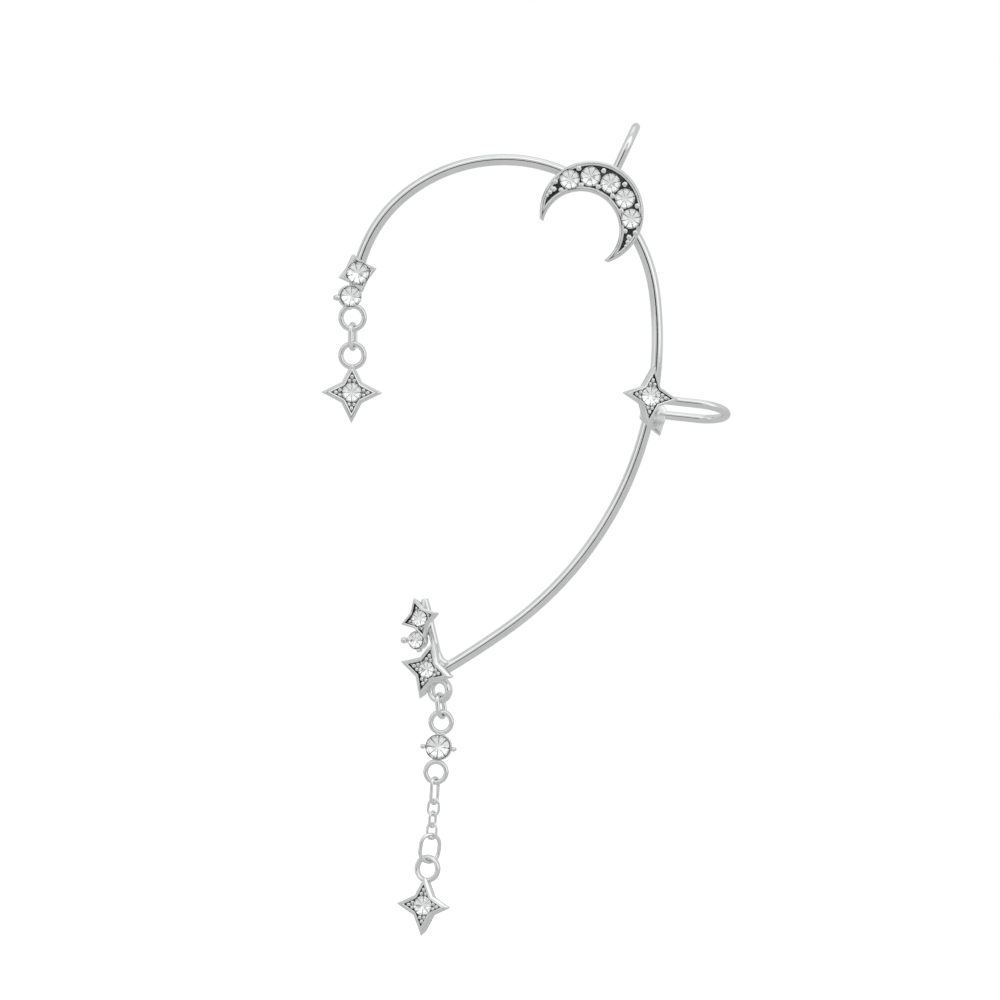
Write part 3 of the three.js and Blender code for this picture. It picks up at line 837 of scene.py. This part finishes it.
def buildStar(name, place, sizes, stone, node="cuff_frame", ringPlace=None):
    bm = bmesh.new()
    starBody(bm, sizes, casting["thickness"])
    bmesh.ops.transform(bm, matrix=place, verts=bm.verts)
    bm = cutAway(bm, seatCutter)
    if ringPlace:
        hole = bmesh.new()
        addSeat(hole, ringPlace, 2 * ringInside(ring), depth=2, front=2)
        cutter = meshObject("ringHole", hole)
        bm = cutAway(bm, cutter)
        bpy.data.objects.remove(cutter)
        addCastRing(bm, ringPlace, ring)
    grains = bmesh.new()
    starGrains(grains, sizes, stone)
    bmesh.ops.transform(grains, matrix=place, verts=grains.verts)
    joinInto(bm, grains)
    finishPiece(name, bm, castingMetals, [node])


def joinInto(bm, other):
    mesh = bpy.data.meshes.new("joined")
    other.to_mesh(mesh)
    other.free()
    bm.from_mesh(mesh)
    bpy.data.meshes.remove(mesh)


def addCastRing(bm, place, sizes):
    part = bmesh.new()
    middle = (sizes["outer"] - sizes["band"]) / 2
    section = addRing(part, sizes["band"] / 2, 16, Matrix.Translation((middle, 0, 0)))
    bmesh.ops.scale(part, vec=(1, sizes["depth"] / sizes["band"], 1), verts=part.verts)
    bmesh.ops.spin(
        part, geom=section, cent=(0, 0, 0), axis=(0, 1, 0), angle=2 * math.pi, steps=40, use_merge=True
    )
    bmesh.ops.transform(part, matrix=place, verts=part.verts)
    bmesh.ops.recalc_face_normals(part, faces=part.faces)
    joinInto(bm, part)


def buildRing(name, place, sizes):
    bm = bmesh.new()
    addCastRing(bm, place, sizes)
    bm = cutAway(bm, seatCutter)
    finishPiece(name, bm, castingMetals, ["cuff_frame"], 50)


smallProng = 0.42  # balls up to this size have one short stem


def addProng(bm, place, degrees, ball, reach):
    # a ball at the front, with a stem up the cup's side and, if it is big, one back to the cup
    part = bmesh.new()
    half = casting["thickness"] / 2
    bmesh.ops.create_uvsphere(
        part, u_segments=16, v_segments=10, radius=ball / 2, matrix=Matrix.Translation((0, -half * 0.75, 0))
    )
    # each stem: radius at both ends, length, middle, axis it is turned about
    if ball > smallProng:
        stems = (
            (ball * 0.42, ball * 0.3, half + 0.25, (0, -0.05, 0), "X"),
            (ball * 0.24, ball * 0.24, reach - 0.5, (-(reach - 0.5) / 2, 0.15, 0), "Y"),
        )
    else:
        stems = ((ball * 0.4, ball * 0.4, half, (0, -half * 0.3, 0), "X"),)
    for thick, thin, long, spot, axis in stems:
        turned = Matrix.Translation(spot) @ Matrix.Rotation(math.radians(90), 4, axis)
        bmesh.ops.create_cone(
            part, cap_ends=True, segments=12, radius1=thick, radius2=thin, depth=long, matrix=turned
        )
    bmesh.ops.translate(part, verts=part.verts, vec=(reach, 0, 0))
    bmesh.ops.rotate(
        part, verts=part.verts, cent=(0, 0, 0), matrix=Matrix.Rotation(math.radians(-degrees), 3, "Y")
    )
    bmesh.ops.transform(part, matrix=place, verts=part.verts)
    joinInto(bm, part)


def addCup(bm, place, stone):
    # a turned cup with a thin lip round the stone's girdle
    part = bmesh.new()
    half = casting["thickness"] / 2
    girdle = casting["stoneDrop"] - half
    outer = stone / 2 + cup["lip"]
    profile = [
        (0, half),
        (outer - 0.1, half),
        (outer, half - 0.1),
        (outer, girdle + 0.1),
        (outer - 0.03, girdle + 0.02),
        (outer - 0.07, girdle),
        (outer - 0.1, girdle + 0.04),
        (0, girdle + 0.05),
    ]
    verts = [part.verts.new((x, y, 0)) for x, y in profile]
    edges = [part.edges.new(pair) for pair in zip(verts, verts[1:])]
    bmesh.ops.spin(
        part, geom=verts + edges, cent=(0, 0, 0), axis=(0, 1, 0), angle=2 * math.pi, steps=48, use_merge=True
    )
    bmesh.ops.remove_doubles(part, verts=part.verts, dist=0.001)
    bmesh.ops.recalc_face_normals(part, faces=part.faces)
    bmesh.ops.transform(part, matrix=place, verts=part.verts)
    joinInto(bm, part)


def buildClaw(name, place, stone, prongs, node="cuff_frame", rings=()):
    bm = bmesh.new()
    addCup(bm, place, stone)
    bm = cutAway(bm, seatCutter)
    for prong in prongs:
        addProng(bm, place, *prong)
    for ringPlace in rings:
        addCastRing(bm, ringPlace, connectorRing)
    finishPiece(name, bm, castingMetals, [node])


def buildSpine(name, cluster, stations):
    # a bar behind the settings
    bm = bmesh.new()
    points = [Vector(point) for point, _ in stations]
    loop = None
    for k, (point, size) in enumerate(stations):
        ahead = points[min(k + 1, len(points) - 1)] - points[max(k - 1, 0)]
        place = Matrix.Translation(point) @ ahead.to_track_quat("Z", "X").to_matrix().to_4x4()
        section = addRing(bm, size / 2, 16, place)
        if loop:
            bmesh.ops.bridge_loops(bm, edges=loop + section)
        else:
            first = section
        loop = section
    closeRing(bm, first, 0.15, 3)
    closeRing(bm, loop, 0.15, 3)
    bmesh.ops.transform(bm, matrix=cluster, verts=bm.verts)
    bm = cutAway(bm, seatCutter)
    finishPiece(name, bm, [metals["castSilver"]], ["cuff_frame"], 60)


buildStar("middle_star", midStarPlace, middleStar, stoneSizes["star"])
buildStar("front_star", frontStarPlace, frontStar, stoneSizes["frontStar"])
buildStar("lower_small_star", lowerStarPlace, lowerStar, stoneSizes["lower"])
buildStar("lower_big_star", bigStarPlace, bigStar, stoneSizes["bigStar"])
buildStar("front_drop", frontDropPlace, star, stoneSizes["star"], "front_drop_star", places["front_drop_star"])
buildStar("end_star", dropStarPlace, bigStar, stoneSizes["star"], "drop_star", places["drop_star"])

# prongs: angle in degrees, ball, way from the stone's middle
frontProngs = [(193, 0.62, 1.36), (26, 0.3, 1.02), (246, 0.26, 0.96), (274, 0.34, 1.18), (343, 0.3, 0.98)]
lowerProngs = [(180, 0.64, 1.3), (81, 0.4, 1.14), (288, 0.38, 1.04)]
connectorProngs = [(-2, 0.5, 1.56), (183, 0.54, 1.5)]
buildClaw("front_claw_cup", frontClawPlace, stoneSizes["frontClaw"], frontProngs)
buildClaw("lower_claw_cup", lowerClawPlace, stoneSizes["lower"], lowerProngs)
buildClaw(
    "connector_cup",
    connectorPlace,
    stoneSizes["connector"],
    connectorProngs,
    "drop_connector",
    (places["drop_connector"], connectorLowPlace),
)
buildRing("front_cast_ring", frontRingPlace, ring)
buildRing("lower_cast_ring", lowerRingPlace, lowerRing)
buildSpine(
    "front_spine",
    frontCluster,
    [((0, 0, 0), 0.9), ((-0.3, -0.1, -0.7), 0.9), ((-0.58, -0.2, -1.3), 0.85), ((-0.85, -0.45, -2.4), 0.8)],
)
buildSpine(
    "lower_spine",
    lowerCluster,
    [
        ((-1.5, -0.1, 7.25), 0.72),
        ((-1.32, -0.1, 6.4), 0.9),
        ((-1.02, 0, 5.2), 0.85),
        ((-0.79, 0, 4.26), 0.8),
        ((-0.46, 0, 3.1), 0.8),
        ((-0.18, 0, 2.0), 0.78),
        ((0.25, 0, 1.2), 0.82),
        ((0.95, 0, 0.8), 0.82),
    ],
)
print("stars, cups and rings done")

# ---- the crescent


def addArc(bm, centre, radius, start):
    # the long way round, from the start to its mirror image
    first = bm.verts.new((centre + radius * math.cos(start), 0, radius * math.sin(start)))
    end = 2 * math.pi - start
    made = bmesh.ops.spin(
        bm,
        geom=[first],
        cent=(centre, 0, 0),
        axis=(0, 1, 0),
        angle=start - end,
        steps=crescent["steps"],
        use_duplicate=False,
    )
    return first, vertsOf(made["geom_last"])[0]


def buildCrescent():
    bm = bmesh.new()
    outerEnds = addArc(bm, 0, crescent["outer"], math.radians(crescent["tipOuter"]))
    innerEnds = addArc(bm, crescent["offset"], crescent["inner"], math.radians(crescent["tipInner"]))
    for pair in zip(outerEnds, innerEnds):
        bm.edges.new(pair)
    face = bmesh.ops.contextual_create(bm, geom=list(bm.edges))["faces"][0]
    face.normal_update()
    if face.normal.y > 0:
        face.normal_flip()
    half = crescent["thickness"] / 2
    bmesh.ops.translate(bm, verts=face.verts, vec=(0, half, 0))
    face = raiseFace(bm, face, crescent["thickness"] - crescent["slope"])
    insetFace(bm, face, crescent["slope"], crescent["slope"])
    return bm


def fieldOutline(bm, rim):
    # the crescent's outline inset by the rim, pointed at both ends
    outer, inner = crescent["outer"] - rim, crescent["inner"] + rim
    along = (outer**2 - inner**2 + crescent["offset"] ** 2) / (2 * crescent["offset"])
    onOuter = math.acos(along / outer)
    onInner = math.acos((along - crescent["offset"]) / inner)
    before = set(bm.verts)
    outerEnds = addArc(bm, 0, outer, onOuter)
    innerEnds = addArc(bm, crescent["offset"], inner, onInner)
    for kept, moved in zip(outerEnds, innerEnds):
        moved.co = kept.co
    verts = [vert for vert in bm.verts if vert not in before]
    bmesh.ops.remove_doubles(bm, verts=verts, dist=0.001)
    return [edge for edge in bm.edges if before.isdisjoint(edge.verts)]


def crescentField(stages, dark):
    # what is cut away, from the back to the front: rim and height of each stage
    bm = bmesh.new()
    last = None
    for rim, height in stages:
        loop = fieldOutline(bm, rim)
        verts = list({vert for edge in loop for vert in edge.verts})
        bmesh.ops.translate(bm, verts=verts, vec=(0, height - crescent["thickness"] / 2, 0))
        if last:
            bmesh.ops.bridge_loops(bm, edges=last + loop)
        else:
            bmesh.ops.contextual_create(bm, geom=loop)
        last = loop
    bmesh.ops.contextual_create(bm, geom=last)
    bmesh.ops.recalc_face_normals(bm, faces=bm.faces)
    for face in bm.faces:
        face.material_index = dark
    bmesh.ops.transform(bm, matrix=crescentPlace, verts=bm.verts)
    return meshObject("field", bm)


crescentCuts = [  # rim and height of each stage, then the cut's metal among the casting's
    ([(0.44, 0.055), (0.3, 0), (0.3, -0.5)], 0),
    # the lower cut's walls take the near-black metal of painted shadow
    ([(0.47, casting["recess"]), (0.47, -0.5)], 2),
]

# grains between the stones: aside as a share of a stone, and how deep they and the end grains are sunk
crescentGrains = {"aside": 0.42, "size": 0.62, "sunk": 0.14, "endSunk": 0.12}
endGrains = [  # past the last stone as a share of the pitch, across as a share of a stone's radius, size
    (0.6, 0.54, 0.6),
    (0.64, -0.46, 0.6),
    (0.87, 0.08, 0.64),
    (1.1, 0.16, 0.56),
    (1.3, 0.2, 0.46),
    (1.46, 0.22, 0.36),
]


def finishCrescent():
    bm = buildCrescent()
    softenEdges(bm, crescent["edge"])
    bmesh.ops.transform(bm, matrix=crescentPlace, verts=bm.verts)
    for cut in crescentCuts:
        field = crescentField(*cut)
        bm = cutAway(bm, field)
        bpy.data.objects.remove(field)
    bm = cutAway(bm, seatCutter)
    grains = bmesh.new()
    floor = casting["recess"] - crescent["thickness"] / 2
    last = (crescent["stones"] - 1) / 2
    aside = crescentGrains["aside"] * stoneSizes["pave"]
    sunk, endSunk = floor - crescentGrains["sunk"], floor - crescentGrains["endSunk"]
    for side in (-1, 1):
        for k in range(crescent["stones"] - 1):
            addGrain(grains, *onCrescent(k + 0.5 - last, side * aside), sunk, crescentGrains["size"])
        for past, across, size in endGrains:
            addGrain(grains, *onCrescent(side * (last + past), across * stoneSizes["pave"] / 2), endSunk, size)
    bmesh.ops.transform(grains, matrix=crescentPlace, verts=grains.verts)
    joinInto(bm, grains)
    finishPiece("crescent_casting", bm, castingMetals, ["cuff_frame"])


finishCrescent()
print("crescent done")

# ---- links


def buildLink(name):
    length, width, gauge, _, _ = links[name]
    bm = bmesh.new()
    bend = (width - gauge) / 2
    rise = (length - width) / 2
    start = addRing(bm, gauge / 2, 16, Matrix.Translation((bend, 0, rise)))
    loop = turnRing(bm, start, (0, 0, rise), (0, 1, 0), -180, 20)
    loop = pullRing(bm, loop, (0, 0, -2 * rise))
    loop = turnRing(bm, loop, (0, 0, -rise), (0, 1, 0), -180, 20)
    bmesh.ops.bridge_loops(bm, edges=loop + start)
    bmesh.ops.transform(bm, matrix=places[name], verts=bm.verts)
    finishPiece(f"{name}_wire", bm, [metals["chainSilver"]], [name], 60)


for name in links:
    buildLink(name)
print("links done")

# ---- stones

stoneCut = {  # count, radius and height as shares of the radius, phase in degrees
    "table": (8, 0.54, 0.3, 0),
    "girdleFront": (16, 1, 0.1, 0),
    "girdleBack": (16, 1, 0, 0),
    "pavilion": (8, 0.5, -0.14, 22.5),
    "culet": (1, 0, -0.21, 0),
}


def buildStone(name):
    place, diameter, spin = stones[name]
    bm = bmesh.new()
    for count, reach, height, phase in stoneCut.values():
        for k in range(count):
            angle = math.radians(360 / count * k + phase + spin)
            radius = diameter / 2
            bm.verts.new(
                (radius * reach * math.cos(angle), -radius * height, radius * reach * math.sin(angle))
            )
    bmesh.ops.convex_hull(bm, input=bm.verts)
    bmesh.ops.dissolve_limit(
        bm,
        angle_limit=math.radians(1),
        use_dissolve_boundaries=False,
        verts=bm.verts,
        edges=bm.edges,
        delimit=set(),
    )
    bmesh.ops.recalc_face_normals(bm, faces=bm.faces)
    for face in bm.faces:
        face.material_index = 1 if face.normal.y > -0.2 else 0
    across = bm.loops.layers.uv.new("cut")
    for face in bm.faces:
        for corner in face.loops:
            corner[across].uv = (corner.vert.co.x * 2 / diameter, corner.vert.co.z * 2 / diameter)
    bmesh.ops.transform(bm, matrix=place, verts=bm.verts)
    piece = finishPiece(f"{name}_cut", bm, [crystal, foilWithPaintedGlow], [name], 1)
    piece.data.shade_flat()


for name in stones:
    buildStone(name)
bpy.data.objects.remove(seatCutter)
print("stones done:", len(stones))

print("pieces:", pieceCount)
